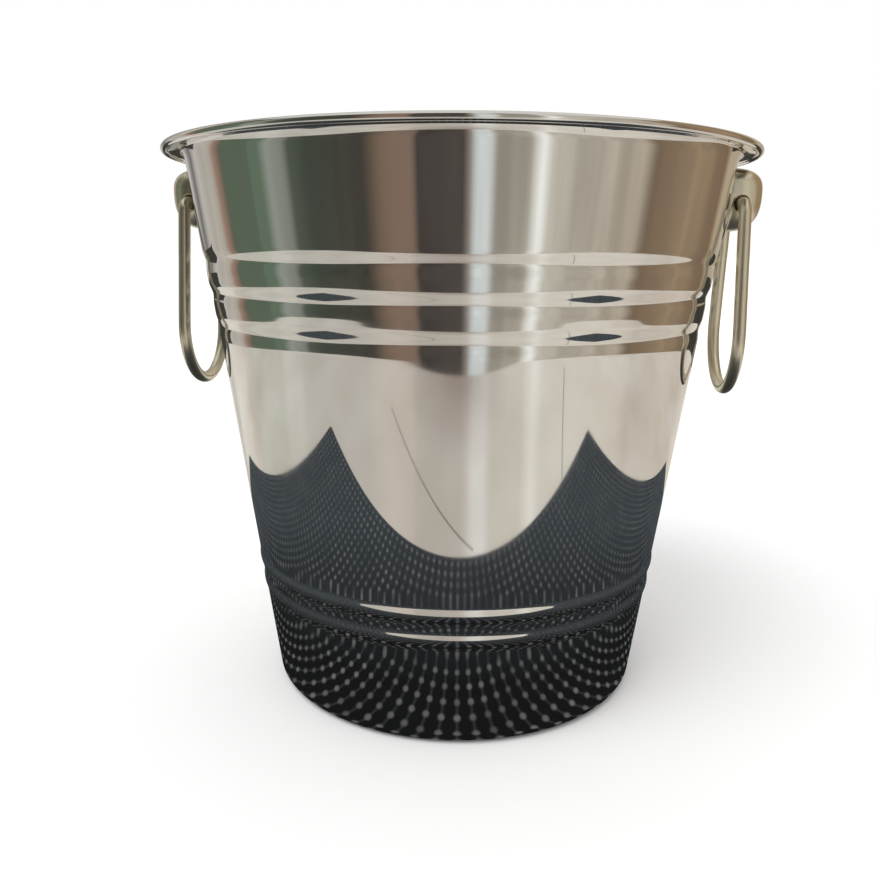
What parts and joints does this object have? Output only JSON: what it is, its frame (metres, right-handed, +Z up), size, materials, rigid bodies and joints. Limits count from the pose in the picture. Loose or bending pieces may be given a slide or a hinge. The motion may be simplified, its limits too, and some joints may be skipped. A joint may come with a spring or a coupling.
{
  "type": "champagne bucket",
  "caption": "Tapered polished metal champagne bucket with a rolled lip, rolled grooves under a plain band, thin beads near the foot and swinging drop-ring handles on riveted lugs.",
  "frame": {"origin": "centre of the foot, on the surface the bucket stands on", "axes": "+Z up along the bucket's axis; the lugs and ring handles stand on +X and -X, and their bores run along Y"},
  "size_m": [0.2206, 0.214, 0.2002],
  "materials": {
    "polished_steel": "mirror-polished stainless steel",
    "plated_nickel": "polished nickel plate, slightly warm",
    "rivet_steel": "plain rivet heads"
  },
  "bodies": {
    "bucket": {"bucket_body": "polished_steel", "lug_left": "plated_nickel", "lug_right": "plated_nickel", "rivet_left_lower": "rivet_steel", "rivet_left_upper": "rivet_steel", "rivet_right_lower": "rivet_steel", "rivet_right_upper": "rivet_steel"},
    "handle_left": {"ring_handle_left": "plated_nickel"},
    "handle_right": {"ring_handle_right": "plated_nickel"}
  },
  "joints": [
    {"name": "handle_left_swing", "type": "hinge", "parent": "bucket", "child": "handle_left", "pos_m": [-0.10172, 0, 0.1828], "axis": [0, 1, 0], "range_deg": [-10, 150]},
    {"name": "handle_right_swing", "type": "hinge", "parent": "bucket", "child": "handle_right", "pos_m": [0.10172, 0, 0.1828], "axis": [0, -1, 0], "range_deg": [-10, 150]}
  ]
}
